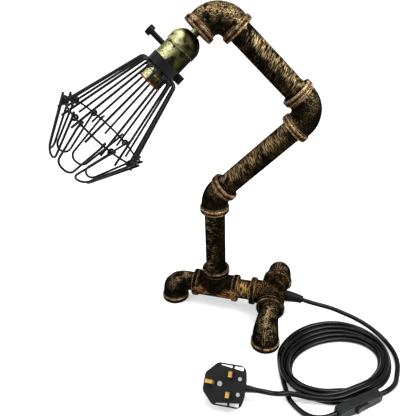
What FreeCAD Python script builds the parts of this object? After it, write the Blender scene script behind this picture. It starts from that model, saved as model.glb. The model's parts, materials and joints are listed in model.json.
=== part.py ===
"""Industrial pipe table lamp: 3/4 inch pipe and banded fittings, key lampholder, wire cage, flex and plug.

Millimetres, +Z up, the feet stand on z = 0.  The base run lies along X and the riser is vertical.
The origin is the middle of the foot-print of the lamp without its flex, on the table.
"""
import FreeCAD
import Part
import math
import os
from FreeCAD import Placement, Rotation, Vector

# ---------------------------------------------------------------- pipe and fittings
pipe_od = 26.9            # 3/4 inch steel pipe
pipe_bore = 21.6
thread_depth = 14.5       # how far a pipe goes into a fitting
thread_gap = 0.1          # radial play of a pipe in its socket
body_od = 34.0            # fitting between its bands
fit_gap = 0.05            # between pieces that are screwed or pushed together
band_od = 37.9            # reinforcing band at each mouth
band_width = 7.5
band_round = 1.2
mouth_chamfer = 2.0
elbow_reach = 32.2        # centre to face of a 90 degree elbow
elbow_bend = 22.0         # centre-line radius of that elbow
elbow45_reach = 21.9
elbow45_bend = 30.0
tee_reach = 32.1
tee_blend = 5.0
street_reach = 30.0       # centre of a street elbow to the face it screws into
street_bend = 19.5
seam_width = 1.3          # casting seam along a street elbow
seam_height = 0.45

base_nipple_show = 17.5   # bare pipe between the two tees
riser_show = 93.4
lower_arm_show = 109.0
upper_arm_show = 88.6
arm_turn = 7.9            # riser and arm, turned about the vertical
knee_twist = -2.6         # knee, turned about the lower arm
head_twist = 18.6         # head elbow, turned about the upper arm
head_bend = 89.2          # the head elbow's casting is a little off square

# ---------------------------------------------------------------- flex
flex_d = 6.2
strain_length = 20.0
strain_droop = 13.0       # degrees below level at the tip
strain_base_d = 15.6
strain_tip_d = 10.4
strain_collar = 2.5
grommet_d = 13.0
grommet_gap = 0.1
grommet_lip = 1.0

# ---------------------------------------------------------------- lampholder, z from the head elbow's mouth
nipple_d = 10.0
nipple_bore = 7.6
nipple_inside = 13.0      # nipple above the mouth
nipple_outside = 9.5
nipple_gap = 0.08
nipple_nut_af = 12.0
bush_length = 12.0
bush_recess = 1.0
cap_top = 4.4
cap_shoulder = 17.2
cap_end = 25.6
cap_d = 36.0
sheet = 0.7               # brass sheet of cap and shell
shell_d = 34.4
shell_tuck = 3.0          # shell inside the cap
shell_end = 52.6
shell_lip_d = 28.8
liner_gap = 0.4
liner_wall = 1.1
block_d = 28.6
block_top = 14.0
block_end = 44.0
e27_bore = 26.6
e27_wall = 0.5
e27_dish = 7.0            # height of the sleeve's dished bottom, above the switch block
e27_dish_in = 2.2         # how far that bottom draws in
sleeve_end = 73.3
sleeve_rim_d = 28.6
sleeve_rim = 1.6
sleeve_bead_z = 62.0
key_z = 33.6
key_stem_d = 6.2
key_head_d = 11.6
key_head_from = 32.2      # from the lampholder's axis
key_head_to = 38.4
key_flutes = 9
key_gap = 0.35
spindle_d = 3.0
spindle_gap = 0.06
cam_d = 8.0
cam_length = 8.0

# ---------------------------------------------------------------- cage
wire_d = 2.7
ring_wire_d = 2.4
collar_from = 43.6
collar_to = 53.4
collar_wall = 1.0
collar_gap = 0.1
collar_split = 4.0
lug_reach = 25.0
lug_wall = 1.6
clamp_z = 48.4
clamp_r = 21.6
clamp_d = 3.0
clamp_head_d = 6.6
clamp_nut_af = 5.5
wire_phase = 5.3          # the wires about the cage axis, from the clamp
ring_z = 147.8
ring_radius = 52.0
crown_radius = 15.9
shoulder_radius = 23.8
shoulder_bend = 6.0
crown_bend = 2.2
leg_past_ring = 10.0
petals = 8
petal_length = 57.8
petal_tilt = 25.3
petal_eye_angle = 17.0    # each eye, from the middle of its petal, about the cage axis
petal_foot = 9.3          # half width at the bottom
petal_foot_bend = 9.2
petal_tail = 6.4
eye_gap = 0.35

# ---------------------------------------------------------------- in-line switch
inline_length = 60.0
inline_height = 16.0
inline_end_height = 12.6
inline_flat = 30.0        # length of the full height
inline_thick = 11.6
inline_split = 5.8        # thickness of the back half
inline_round = 1.6
inline_x = 201.3
inline_y = -134.4
inline_turn = 38.9
inline_screw_x = 23.0
inline_screw_d = 2.6
inline_head_d = 5.0
inline_boss = 2.4         # how far the screws reach into the front half
rocker_length = 15.0
rocker_width = 8.6
rocker_gap = 0.35
rocker_tilt = 7.0
rocker_sunk = 2.2         # pin below the case's face
rocker_below = 1.6        # rocker below its pin
rocker_crown = 10.0
rocker_dish = 30.0
rocker_proud = 4.0        # middle of the rocker above its pin
rocker_pin_d = 2.4
rocker_pin_end = 1.6
contact_size = (18.0, 3.0, 0.8)
contact_gap = 0.3

# ---------------------------------------------------------------- plug, three rectangular pins
plug_x = 50.3             # middle of the pin face
plug_y = -159.2
plug_turn = 2.1
plug_roll = 36.0          # it lies on one corner of its back, pins leaning to -Y
plug_length = 49.0
plug_width = 47.5
plug_nose = 20.0          # flat of the narrow end
plug_shoulder = 13.5
plug_corner = 8.0
plug_depth = 22.0         # pin face to back
plug_plate = 5.5
plug_back = 33.0          # width of the cover behind the plate
plug_back_taper = 3.0
earth_in = 9.1            # earth pin from the narrow end
pin_row = 22.23           # earth pin to the other two, and between those
line_pin = (4.0, 6.35, 17.7)
earth_pin = (8.0, 4.0, 22.7)
sleeve_length = 9.0
grip_length = 11.0
grip_d = 9.6
fuse_d = 6.3
fuse_length = 25.4

O = Vector(0, 0, 0)
X = Vector(1, 0, 0)
Y = Vector(0, 1, 0)
Z = Vector(0, 0, 1)
parts = {}


# ================================================================ tools
def at(x=0, y=0, z=0, axis=Z, angle=0):
    return Placement(Vector(x, y, z), Rotation(axis, angle))


def put(shape, place):
    """A copy of the shape, carried from its own frame to that place."""
    moved = shape.copy()
    moved.Placement = place.multiply(moved.Placement)
    return moved


def turned(start, *steps):
    """A solid of revolution about Z. A step is a corner (r, z), or a pair of them for an arc by its middle."""
    def point(rz):
        return Vector(rz[0], 0, rz[1])
    edges = []
    here = start
    for step in list(steps) + [start]:
        if isinstance(step[0], tuple):
            there = step[1]
            edges.append(Part.Arc(point(here), point(step[0]), point(there)).toShape())
        else:
            there = step
            edges.append(Part.LineSegment(point(here), point(there)).toShape())
        here = there
    return Part.Face(Part.Wire(edges)).revolve(O, Z, 360)


def rod(diameter, z_from, z_to):
    return Part.makeCylinder(diameter / 2, z_to - z_from, Vector(0, 0, z_from))


def tube(outer, inner, z_from, z_to):
    return rod(outer, z_from, z_to).cut(rod(inner, z_from - 1, z_to + 1))


def block(x0, x1, y0, y1, z0, z1):
    return Part.makeBox(x1 - x0, y1 - y0, z1 - z0, Vector(x0, y0, z0))


def upright_edges(solid):
    return [e for e in solid.Edges if abs(e.tangentAt(e.FirstParameter).z) > 0.99]


def fused(first, *others):
    return first.fuse(list(others)).removeSplitter()


def rounded_path(points, radii):
    """Straight runs joined by tangent arcs. Returns the edges."""
    edges = []
    here = points[0]
    for before, corner, after, radius in zip(points, points[1:], points[2:], radii):
        come = (corner - before).normalize()
        go = (after - corner).normalize()
        half = come.getAngle(go) / 2
        back = radius * math.tan(half)
        begin = corner - come * back
        finish = corner + go * back
        inward = (go - come).normalize()
        middle = corner + inward * (radius / math.cos(half) - radius)
        edges.append(Part.LineSegment(here, begin).toShape())
        edges.append(Part.Arc(begin, middle, finish).toShape())
        here = finish
    edges.append(Part.LineSegment(here, points[-1]).toShape())
    return edges


def swept(edges, diameter):
    """A round bar along those edges."""
    start = edges[0].Vertexes[0].Point
    along = edges[0].tangentAt(edges[0].FirstParameter)
    section = Part.Wire(Part.Circle(start, along, diameter / 2).toShape())
    return Part.Wire(edges).makePipeShell([section], True, False)


def cord(name, points, diameter=flex_d):
    """A flex along the points. Each arc is as large as its two runs allow."""
    radii = []
    for before, corner, after in zip(points, points[1:], points[2:]):
        half = (corner - before).getAngle(after - corner) / 2
        shorter = min((corner - before).Length, (after - corner).Length)
        radii.append(0.45 * shorter / math.tan(half))
    edges = rounded_path(points, radii)
    solid = swept(edges, diameter)
    length = sum(edge.Length for edge in edges)
    wanted = math.pi * diameter ** 2 / 4 * length
    print("%-16s length %6.1f  least radius %5.1f  volume ratio %.4f"
          % (name, length, min(radii) if radii else 0, solid.Volume / wanted))
    return solid


def nut(across_flats, bore, z_from, height):
    corner = across_flats / math.sqrt(3)
    points = [put(Part.Vertex(corner, 0, z_from), at(angle=60 * i)).Point for i in range(7)]
    blank = Part.Face(Part.makePolygon(points)).extrude(Z * height)
    return blank.cut(rod(bore + 2 * fit_gap, z_from - 1, z_from + height + 1))


# ================================================================ fittings
def mouth(reach):
    """Outside of one banded mouth on +Z, from where the body's bend ends to its face."""
    band = Part.makeCylinder(band_od / 2, band_width, Vector(0, 0, reach - band_width))
    return band.makeFillet(band_round, [e for e in band.Edges if e.Closed])


def socket(reach):
    """What is taken out of a mouth: the threaded bore and its chamfer."""
    bore = pipe_od / 2 + thread_gap
    bottom = reach - thread_depth - 0.5
    return turned((0, bottom), (bore, bottom), (bore, reach - mouth_chamfer),
                  (bore + mouth_chamfer, reach), (bore + mouth_chamfer, reach + 1), (0, reach + 1))


def bend_tangent(radius, angle):
    return radius * math.tan(math.radians(abs(angle)) / 2)


def bent(diameter, radius, angle):
    """A round bar that comes up -Z to the origin's bend and leaves turned by the angle about Y."""
    side = 1 if angle > 0 else -1
    tangent = bend_tangent(radius, angle)
    disc = Part.Face(Part.Wire(Part.Circle(Vector(0, 0, -tangent), Z, diameter / 2).toShape()))
    return disc.revolve(Vector(side * radius, 0, -tangent), Y * side, abs(angle))


def elbow(reach, radius, angle):
    """A female elbow: one mouth on -Z, the other turned from +Z by the angle about Y."""
    tangent = bend_tangent(radius, angle)
    ways = [at(axis=X, angle=180), at(axis=Y, angle=angle)]
    straight = rod(body_od, tangent, reach - band_round)
    outside = [put(s, way) for way in ways for s in (straight, mouth(reach))]
    hollow = [put(s, way) for way in ways for s in (socket(reach), rod(pipe_bore, tangent, reach))]
    solid = fused(bent(body_od, radius, angle), *outside)
    return solid.cut([bent(pipe_bore, radius, angle)] + hollow).removeSplitter()


def tee():
    """A female tee: the run along X, the branch up +Z."""
    ways = [at(axis=Y, angle=90), at(axis=Y, angle=-90), at()]
    run = put(rod(body_od, -tee_reach + band_round, tee_reach - band_round), ways[0])
    branch = rod(body_od - 1.6, 0, tee_reach - band_round)
    body = run.fuse(branch)
    joints = [e for e in body.Edges if e.Curve.TypeId not in ("Part::GeomCircle", "Part::GeomLine")]
    body = body.makeFillet(tee_blend, joints)
    solid = fused(body, *[put(mouth(tee_reach), way) for way in ways])
    hollow = [put(socket(tee_reach), way) for way in ways]
    hollow.append(put(rod(pipe_bore, -tee_reach, tee_reach), ways[0]))
    hollow.append(rod(pipe_bore, 0, tee_reach))
    return solid.cut(hollow).removeSplitter()


def street_outside(extra):
    """The swelling bend of a street elbow, male end on -Z and female end on -X."""
    rings = []
    steps = 5
    for i in range(steps + 1):
        share = i / steps
        turn = math.radians(90 * share)
        radius = pipe_od / 2 + (body_od - pipe_od) / 2 * math.sin(turn) ** 1.5 + extra
        centre = Vector(-street_bend * (1 - math.cos(turn)), 0, -street_bend * (1 - math.sin(turn)))
        facing = Vector(-math.sin(turn), 0, math.cos(turn))
        rings.append(Part.Wire(Part.Circle(centre, facing, radius).toShape()))
    return Part.makeLoft(rings, True, False)


def street_elbow():
    """A street elbow: a male neck on -Z that screws into a tee, and a banded female mouth on -X."""
    outlet = at(axis=Y, angle=-90)
    neck = rod(pipe_od, -street_reach - thread_depth, -street_bend)
    straight = put(rod(body_od, street_bend, elbow_reach - band_round), outlet)
    solid = fused(street_outside(0), neck, straight, put(mouth(elbow_reach), outlet))
    seam = street_outside(seam_height).common(
        block(-2 * body_od, body_od, -seam_width / 2, seam_width / 2, -2 * body_od, 2 * body_od))
    hollow = [bent(pipe_bore, street_bend, -90), rod(pipe_bore, -street_reach - thread_depth - 1, -street_bend),
              put(rod(pipe_bore, street_bend, elbow_reach), outlet), put(socket(elbow_reach), outlet)]
    return fused(solid, seam).cut(hollow).removeSplitter()


def pipe(show):
    """A pipe with its threaded ends, its lower face at -thread_depth."""
    length = show + 2 * thread_depth
    bar = Part.makeCylinder(pipe_od / 2, length, Vector(0, 0, -thread_depth))
    bar = bar.makeChamfer(0.8, [e for e in bar.Edges if e.Closed])
    return bar.cut(rod(pipe_bore, -thread_depth - 1, length))


# ================================================================ places along the lamp
run_height = elbow_reach
riser_tee_at = at(z=run_height)
rear_tee_x = 2 * tee_reach + base_nipple_show
rear_tee_at = at(x=rear_tee_x, z=run_height)
riser_at = at(z=run_height + tee_reach, angle=arm_turn)
riser_elbow_at = riser_at.multiply(at(z=riser_show + elbow45_reach))
lower_arm_at = riser_elbow_at.multiply(at(axis=Y, angle=45)).multiply(at(z=elbow45_reach))
knee_at = lower_arm_at.multiply(at(z=lower_arm_show + elbow_reach, angle=knee_twist))
upper_arm_at = knee_at.multiply(at(axis=Y, angle=-90)).multiply(at(z=elbow_reach))
head_at = upper_arm_at.multiply(at(z=upper_arm_show + elbow_reach, angle=head_twist))
holder_at = head_at.multiply(at(axis=Y, angle=-head_bend)).multiply(at(z=elbow_reach))

# ================================================================ base
turned_tee = at(axis=Y, angle=-90).multiply(at(angle=90))
parts["riser_tee"] = put(tee(), riser_tee_at)
grommet_hole = rod(grommet_d + 2 * grommet_gap, 0, body_od)
rear_tee = put(tee(), turned_tee).cut(put(grommet_hole, at(axis=Y, angle=90)))
parts["rear_tee"] = put(rear_tee, rear_tee_at)
parts["base_nipple"] = put(pipe(base_nipple_show), at(x=tee_reach, z=run_height, axis=Y, angle=90))
foot = put(street_elbow(), at(x=-tee_reach - street_reach, axis=Y, angle=-90))
parts["left_foot_elbow"] = put(foot, riser_tee_at)
parts["front_foot_elbow"] = put(foot, rear_tee_at.multiply(at(angle=90)))
parts["back_foot_elbow"] = put(foot, rear_tee_at.multiply(at(angle=-90)))


def strain_relief():
    """A rubber sleeve through the rear tee's wall, its nose bent down by its flex. It points along +X."""
    collar_r = grommet_d / 2 + grommet_lip
    wall_in = math.sqrt(pipe_bore ** 2 / 4 - collar_r ** 2) - grommet_gap
    wall_out = body_od / 2
    outer_in = wall_out + grommet_gap
    outer_out = wall_out + strain_collar
    inner = turned((0, wall_in - grommet_lip), (collar_r, wall_in - grommet_lip), (collar_r, wall_in),
                   (grommet_d / 2, wall_in), (grommet_d / 2, outer_in), (strain_base_d / 2, outer_in),
                   (strain_base_d / 2, outer_out), (0, outer_out))
    rings = []
    steps = 3
    for i in range(steps + 1):
        share = i / steps
        droop = math.radians(strain_droop * share)
        away = strain_length * share
        centre = Vector(outer_out + away, 0, -away * math.tan(droop) / 2)
        radius = (strain_base_d + (strain_tip_d - strain_base_d) * share) / 2
        along = Vector(math.cos(droop), 0, -math.sin(droop))
        rings.append(Part.Wire(Part.Circle(centre, along, radius).toShape()))
    nose = Part.makeLoft(rings, True, False)
    return fused(put(inner, at(axis=Y, angle=90)), nose), centre, along, wall_in - grommet_lip


relief, relief_tip, relief_along, relief_inner = strain_relief()
parts["strain_relief"] = put(relief, rear_tee_at)
flex_exit = rear_tee_at.multVec(relief_tip)

# ================================================================ riser and arm
parts["riser_pipe"] = put(pipe(riser_show), riser_at)
parts["riser_elbow"] = put(elbow(elbow45_reach, elbow45_bend, 45), riser_elbow_at)
parts["lower_arm_pipe"] = put(pipe(lower_arm_show), lower_arm_at)
parts["knee_elbow"] = put(elbow(elbow_reach, elbow_bend, -90), knee_at)
parts["upper_arm_pipe"] = put(pipe(upper_arm_show), upper_arm_at)
parts["head_elbow"] = put(elbow(elbow_reach, elbow_bend, -head_bend), head_at)
bush = tube(pipe_od, nipple_d + 2 * nipple_gap, -bush_recess - bush_length, -bush_recess)
parts["head_bush"] = put(bush, holder_at)


def inner_flex(start, *corners):
    """Flex in the middle of the pipes: straight to each corner (point, bend radius), up to the last."""
    points = [start] + [c[0] for c in corners]
    edges = rounded_path(points, [c[1] for c in corners[:-1]])
    return swept(edges, flex_d)


corner_bend = 24.0
head_corner_bend = 16.0
swivel = -thread_depth + 1.0   # the flex is parted inside each pipe's lower end
riser_tee_centre = riser_tee_at.multVec(O)
parts["flex_base"] = inner_flex(rear_tee_at.multVec(Vector(relief_inner, 0, 0)),
                                (riser_tee_centre, corner_bend), (riser_at.multVec(Z * swivel), 0))
parts["flex_riser"] = inner_flex(riser_at.multVec(Z * swivel), (riser_elbow_at.multVec(O), elbow45_bend),
                                 (lower_arm_at.multVec(Z * swivel), 0))
parts["flex_lower_arm"] = inner_flex(lower_arm_at.multVec(Z * swivel), (knee_at.multVec(O), elbow_bend),
                                     (upper_arm_at.multVec(Z * swivel), 0))
parts["flex_upper_arm"] = inner_flex(upper_arm_at.multVec(Z * swivel), (head_at.multVec(O), head_corner_bend),
                                     (holder_at.multVec(Z * -nipple_inside), 0))

# ================================================================ lampholder
holder = {}
holder["holder_nipple"] = tube(nipple_d, nipple_bore, -nipple_inside, nipple_outside)
holder["nipple_nut"] = nut(nipple_nut_af, nipple_d, cap_top + sheet + fit_gap, 3.0)

cap_r = cap_d / 2
neck_r = nipple_d / 2 + 0.1
dome_middle = (cap_r * 0.80, cap_top + (cap_shoulder - cap_top) * 0.42)
inner_middle = (dome_middle[0] - 0.5, dome_middle[1] + 0.5)
holder["holder_cap"] = turned(
    (neck_r, cap_top), (neck_r + 2.6, cap_top), (dome_middle, (cap_r, cap_shoulder)),
    (cap_r, cap_end - 1.2), ((cap_r + 0.5, cap_end - 0.6), (cap_r, cap_end)), (cap_r - sheet, cap_end),
    (cap_r - sheet, cap_shoulder), (inner_middle, (neck_r + 2.4, cap_top + sheet)), (neck_r, cap_top + sheet))

shell_r = shell_d / 2
shell_top = cap_end - shell_tuck
key_hole = put(rod(key_stem_d + 2 * key_gap, 0, shell_d), at(z=key_z, axis=Y, angle=90))
holder["holder_shell"] = turned(
    (shell_r - sheet, shell_top), (shell_r, shell_top), (shell_r, shell_end), (shell_lip_d / 2, shell_end),
    (shell_lip_d / 2, shell_end - sheet), (shell_r - sheet, shell_end - sheet)).cut(key_hole)
liner_d = shell_d - 2 * sheet - 2 * liner_gap
liner = tube(liner_d, liner_d - 2 * liner_wall, shell_top, shell_end - sheet - 0.3)
holder["holder_liner"] = liner.cut(key_hole)

spindle_way = put(rod(spindle_d + 2 * spindle_gap, 0, block_d), at(z=key_z, axis=Y, angle=90))
cam_room = put(rod(cam_d + 0.8, -cam_length / 2 - 0.4, cam_length / 2 + 0.4), at(z=key_z, axis=Y, angle=90))
switch_block = turned((0, block_top), (block_d / 2 - 3, block_top), (block_d / 2, block_top + 4),
                      (block_d / 2, block_end), (0, block_end))
stem_room = put(rod(key_stem_d + 2 * key_gap, block_d / 2 - 1.2, block_d), at(z=key_z, axis=Y, angle=90))
holder["switch_block"] = switch_block.cut([spindle_way, cam_room, stem_room])

e27_r = e27_bore / 2
sleeve_r = e27_r + e27_wall
sleeve_floor = block_end + 0.1
dish_top = block_end + e27_dish
holder["screw_shell"] = turned(
    (5.5, sleeve_floor), (sleeve_r - e27_dish_in, sleeve_floor), (sleeve_r, dish_top),
    (sleeve_r, sleeve_bead_z - 1.4),
    ((sleeve_r + 0.5, sleeve_bead_z), (sleeve_r, sleeve_bead_z + 1.4)), (sleeve_r, sleeve_end - sleeve_rim),
    ((sleeve_rim_d / 2, sleeve_end - sleeve_rim / 2), (sleeve_r, sleeve_end)), (e27_r, sleeve_end),
    (e27_r, dish_top), (e27_r - e27_dish_in, sleeve_floor + 0.8), (5.5, sleeve_floor + 0.8))
tongue = [Vector(-4, 0, block_end + 0.35), Vector(-0.5, 0, block_end + 0.35), Vector(2.4, 0, block_end + 5.2),
          Vector(-3.2, 0, block_end + 5.9)]
leaf = Part.Wire(rounded_path(tongue, [1.0, 1.0])).makeOffset2D(0.25, fill=True)
holder["centre_contact"] = put(leaf.extrude(Y * 4), at(y=-2))
core_d = 2.2
cores = [swept(rounded_path([Vector(s * 1.3, 0, nipple_outside - 0.5), Vector(s * 4.0, 0, nipple_outside + 2.0),
                             Vector(s * 4.0, 0, block_top - fit_gap)], [2.0]), core_d) for s in (-1, 1)]
holder["flex_holder"] = fused(rod(flex_d, -nipple_inside, nipple_outside), *cores)

# key: a black moulded knob on a spindle that turns the switch's cam
flute = [put(rod(2.0, -1, 12), at(angle=360 * i / key_flutes).multiply(at(x=(key_head_d + 1.2) / 2, z=key_head_from)))
         for i in range(key_flutes)]
knob = turned((0, key_head_from), (key_head_d / 2 - 0.6, key_head_from), (key_head_d / 2, key_head_from + 0.6),
              (key_head_d / 2, key_head_to - 0.8), (key_head_d / 2 - 0.8, key_head_to), (0, key_head_to))
knob = knob.cut(flute)
stem = rod(key_stem_d, block_d / 2 - 0.8, key_head_from + 0.5)
spindle_end = key_head_from - 4
knob = fused(knob, stem).cut(rod(spindle_d, 0, spindle_end))
key_way = at(z=key_z, axis=Y, angle=90)
cam = Part.makeBox(cam_length, cam_d * 0.7, cam_d * 0.7,
                   Vector(-cam_length / 2, -cam_d * 0.35, -cam_d * 0.35))
key = {"turn_key": put(knob, key_way),
       "key_spindle": fused(put(rod(spindle_d, -cam_length / 2, spindle_end), key_way), put(cam, at(z=key_z)))}

# ================================================================ cage
cage = {}
collar_r = shell_r + collar_gap
crown_z = collar_to + collar_wall + wire_d / 2
collar = turned((collar_r, collar_from), (collar_r + collar_wall, collar_from),
                (collar_r + collar_wall, collar_to + collar_wall), (shell_lip_d / 2 + 0.1, collar_to + collar_wall),
                (shell_lip_d / 2 + 0.1, collar_to), (collar_r, collar_to))
lugs = [block(-lug_reach, -collar_r - 0.2, s * (collar_split / 2 + lug_wall / 2) - lug_wall / 2,
              s * (collar_split / 2 + lug_wall / 2) + lug_wall / 2, collar_from, collar_to) for s in (-1, 1)]
clamp_way = at(x=-clamp_r, z=clamp_z, axis=X, angle=-90)
split = block(-lug_reach - 1, 0, -collar_split / 2, collar_split / 2, collar_from - 1, collar_to + 2)
collar = fused(collar, *lugs).cut(split).cut(put(rod(clamp_d + 0.1, -20, 20), clamp_way))
cage["cage_collar"] = collar
lug_side = collar_split / 2 + lug_wall
screw = turned((0, -lug_side - 4.2), (1.6, -lug_side - 4.2), (1.6, -lug_side - 3.2), (2.2, -lug_side - 4.2),
               (clamp_head_d / 2, -lug_side - 3.2), (clamp_head_d / 2, -lug_side - 0.1),
               (clamp_d / 2, -lug_side - 0.1), (clamp_d / 2, lug_side + 3.4), (0, lug_side + 3.4))
cage["clamp_screw"] = put(screw, clamp_way)
cage["clamp_nut"] = put(nut(clamp_nut_af, clamp_d, lug_side + fit_gap, 2.4), clamp_way)
cage["cage_ring"] = Part.makeTorus(ring_radius, ring_wire_d / 2, Vector(0, 0, ring_z), Z)

sector = 360 / petals
leg_radius = ring_radius - (wire_d + ring_wire_d) / 2 - 0.1   # the legs are welded inside the ring
leg_slope = (leg_radius - shoulder_radius) / (ring_z - crown_z)


def hairpin():
    """Two legs of the cage and the crown that joins them under the collar, about azimuth 0."""
    def spot(radius, height, side):
        a = math.radians(side * sector / 4)
        return Vector(radius * math.cos(a), radius * math.sin(a), height)
    end_z = ring_z + leg_past_ring
    half = [(leg_radius + leg_slope * leg_past_ring, end_z), (shoulder_radius, crown_z),
            (crown_radius, crown_z)]
    points = [spot(r, z, -1) for r, z in half] + [spot(r, z, 1) for r, z in reversed(half)]
    return swept(rounded_path(points, [shoulder_bend, crown_bend, crown_bend, shoulder_bend]), wire_d)


cage["cage_wires"] = Part.makeCompound([put(hairpin(), at(angle=sector * (k + 0.25) + wire_phase))
                                        for k in range(petals)])

eye_centre = (wire_d + ring_wire_d) / 2 + eye_gap   # wire centre to the ring's centre
eye_half = ring_radius * math.sin(math.radians(petal_eye_angle))
hinge_radius = ring_radius * math.cos(math.radians(petal_eye_angle))


def petal():
    """A U of wire that hangs from the ring by two eyes and swings about the line through them (Y)."""
    tilt = math.radians(petal_tilt)
    down = Vector(-math.sin(tilt), 0, math.cos(tilt))
    out = Vector(math.cos(tilt), 0, math.sin(tilt)) * eye_centre
    half = [(-petal_tail, eye_half), (4.0, eye_half), (petal_length, petal_foot)]
    points = [out + down * t + Y * y for t, y in half] + [out + down * t - Y * y for t, y in reversed(half)]
    bar = swept(rounded_path(points, [12.0, petal_foot_bend, petal_foot_bend, 12.0]), wire_d)
    eyes = [Part.makeTorus(eye_centre, wire_d / 2, Vector(0, s * eye_half, 0), Y) for s in (-1, 1)]
    return bar.fuse(eyes)


for k in range(petals):
    cage["petal_%d" % (k + 1)] = put(petal(), at(angle=sector * k + wire_phase).multiply(at(x=hinge_radius, z=ring_z)))

for group in (holder, key, cage):
    for name, shape in group.items():
        parts[name] = put(shape, holder_at)


# ================================================================ in-line switch, on its edge
def inline_half(z_from, z_to, outer_z):
    """One half of the case: a long plate with tapered ends, z across the split, rounded at its outer face."""
    long_half, flat_half = inline_length / 2, inline_flat / 2
    high, low = inline_height / 2, inline_end_height / 2
    outline = [(-long_half, -low), (-flat_half, -high), (flat_half, -high), (long_half, -low), (long_half, low),
               (flat_half, high), (-flat_half, high), (-long_half, low), (-long_half, -low)]
    solid = Part.Face(Part.makePolygon([Vector(x, y, z_from) for x, y in outline])).extrude(Z * (z_to - z_from))
    solid = solid.makeFillet(2 * inline_round, upright_edges(solid))
    return solid.makeFillet(inline_round, [e for e in solid.Edges if abs(e.CenterOfMass.z - outer_z) < 1e-6])


inline_at = Placement(Vector(inline_x, inline_y, inline_height / 2), Rotation(Z, inline_turn)).multiply(
    at(axis=X, angle=90))
face_z = inline_thick / 2
split_z = inline_split - face_z
pin_z = face_z - rocker_sunk
rocker_half = rocker_length / 2
boss_z = split_z + inline_boss


def rocker():
    """A rocker about its pin (Y), dished on top, its pin from wall to wall."""
    body = Part.makeCylinder(rocker_crown, rocker_width, Vector(0, rocker_width / 2, 0), -Y)
    dish = Part.makeCylinder(rocker_dish, 2 * rocker_width, Vector(0, rocker_width, rocker_dish + rocker_proud), -Y)
    body = body.common(block(-rocker_half, rocker_half, -rocker_width, rocker_width, -rocker_below, rocker_crown))
    pin = put(rod(rocker_pin_d, -rocker_width / 2 - rocker_pin_end, rocker_width / 2 + rocker_pin_end),
              at(axis=X, angle=90))
    return fused(body.cut(dish), pin)


def inline_case():
    across = rocker_width / 2 + rocker_gap
    window = block(-rocker_half - rocker_gap, rocker_half + rocker_gap, -across, across,
                   pin_z - rocker_below - 3 * rocker_gap, face_z + 1)
    pin_way = put(rod(rocker_pin_d + 0.16, -across - rocker_pin_end, across + rocker_pin_end),
                  at(z=pin_z, axis=X, angle=90))
    length, width, thick = [size / 2 + contact_gap for size in contact_size]
    contact_room = block(-length, length, -width, width, split_z - 1, split_z + 2 * thick)
    screw_ways = [put(fused(rod(inline_screw_d + 0.2, -face_z, boss_z + 0.1),
                            rod(inline_head_d + 0.2, -face_z - 1, -face_z + 1.6)), at(x=x)) for x in screw_row]
    back = inline_half(-face_z, split_z - 0.05, -face_z).cut(screw_ways)
    front = inline_half(split_z, face_z, face_z).cut([window, pin_way, contact_room] + screw_ways)
    return back, front


screw_row = (-inline_screw_x, inline_screw_x)
case_back, case_front = inline_case()
contact = block(-contact_size[0] / 2, contact_size[0] / 2, -contact_size[1] / 2, contact_size[1] / 2,
                split_z + contact_gap, split_z + contact_gap + contact_size[2])
inline_screw = fused(rod(inline_head_d, -face_z + 0.3, -face_z + 1.55),
                     rod(inline_screw_d, -face_z + 1, boss_z))
inline = {"inline_case_back": case_back, "inline_case_front": case_front, "inline_contact": contact,
          "inline_screws": Part.makeCompound([put(inline_screw, at(x=x)) for x in screw_row]),
          "inline_rocker": put(rocker(), at(z=pin_z, axis=Y, angle=rocker_tilt))}
for name, shape in inline.items():
    parts[name] = put(shape, inline_at)


# ================================================================ plug, on its back with the pins up
plate_z = -plug_plate          # the pin face is z = 0 in the plug's own frame
narrow_x = -plug_length / 2
wide_x = plug_length / 2
earth_x = narrow_x + earth_in
line_x = earth_x + pin_row
fuse_x = line_x + 5.0
sink = 1.2                     # countersink of the screws
window_rim = 1.8               # rim outside the finger windows
window_depth = 4.2
window_x = (-7.5, 19.5)
window_bar = 2.4
window_bar_x = 7.6


def plug_plate_outline():
    """A plate that widens from a flat narrow end, every corner rounded."""
    w, n, shoulder = plug_width / 2, plug_nose / 2, narrow_x + plug_shoulder
    half = [(narrow_x, n), (shoulder, w), (wide_x - 2.5, w), (wide_x, n)]
    outline = half + [(x, -y) for x, y in reversed(half)]
    face = Part.Face(Part.makePolygon([Vector(x, y, plate_z) for x, y in outline + outline[:1]]))
    solid = face.extrude(Z * plug_plate)
    solid = solid.makeFillet(plug_corner, upright_edges(solid))
    return solid.makeFillet(0.8, [e for e in solid.Edges if abs(e.CenterOfMass.z) < 1e-6])


def finger_window(side, x_from, x_to):
    """A see-through gap between the plate's rim and its core, deeper towards the flex."""
    rim_y = plug_width / 2 - window_rim
    start, end = [rim_y - window_depth * (x - window_x[0] + 6) / (window_x[1] - window_x[0] + 6)
                  for x in (x_from, x_to)]
    corners = [(x_from, start), (x_to, end), (x_to, rim_y), (x_from, rim_y)]
    points = [Vector(x, side * y, plate_z - 1) for x, y in corners]
    hole = Part.Face(Part.makePolygon(points + points[:1])).extrude(Z * (plug_plate + 2))
    return hole.makeFillet(0.35, upright_edges(hole))


def pin(x, y, size, grown=0):
    """A flat pin of (x, y, length), its foot in the plate."""
    long_x, long_y, length = size
    solid = block(x - long_x / 2 - grown, x + long_x / 2 + grown, y - long_y / 2 - grown, y + long_y / 2 + grown,
                  plate_z + sink, length)
    if grown:
        return solid
    tip = [e for e in solid.Edges if all(v.Point.z > length - 1e-6 for v in e.Vertexes)]
    return solid.makeChamfer(0.9, tip)


def plug_screw(x, y, head, grown=0):
    neck = put(rod(head * 0.5 + grown, plate_z + 1, -sink), at(x=x, y=y))
    return fused(put(rod(head + grown, -sink - grown / 2, grown - 0.1), at(x=x, y=y)), neck)


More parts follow.
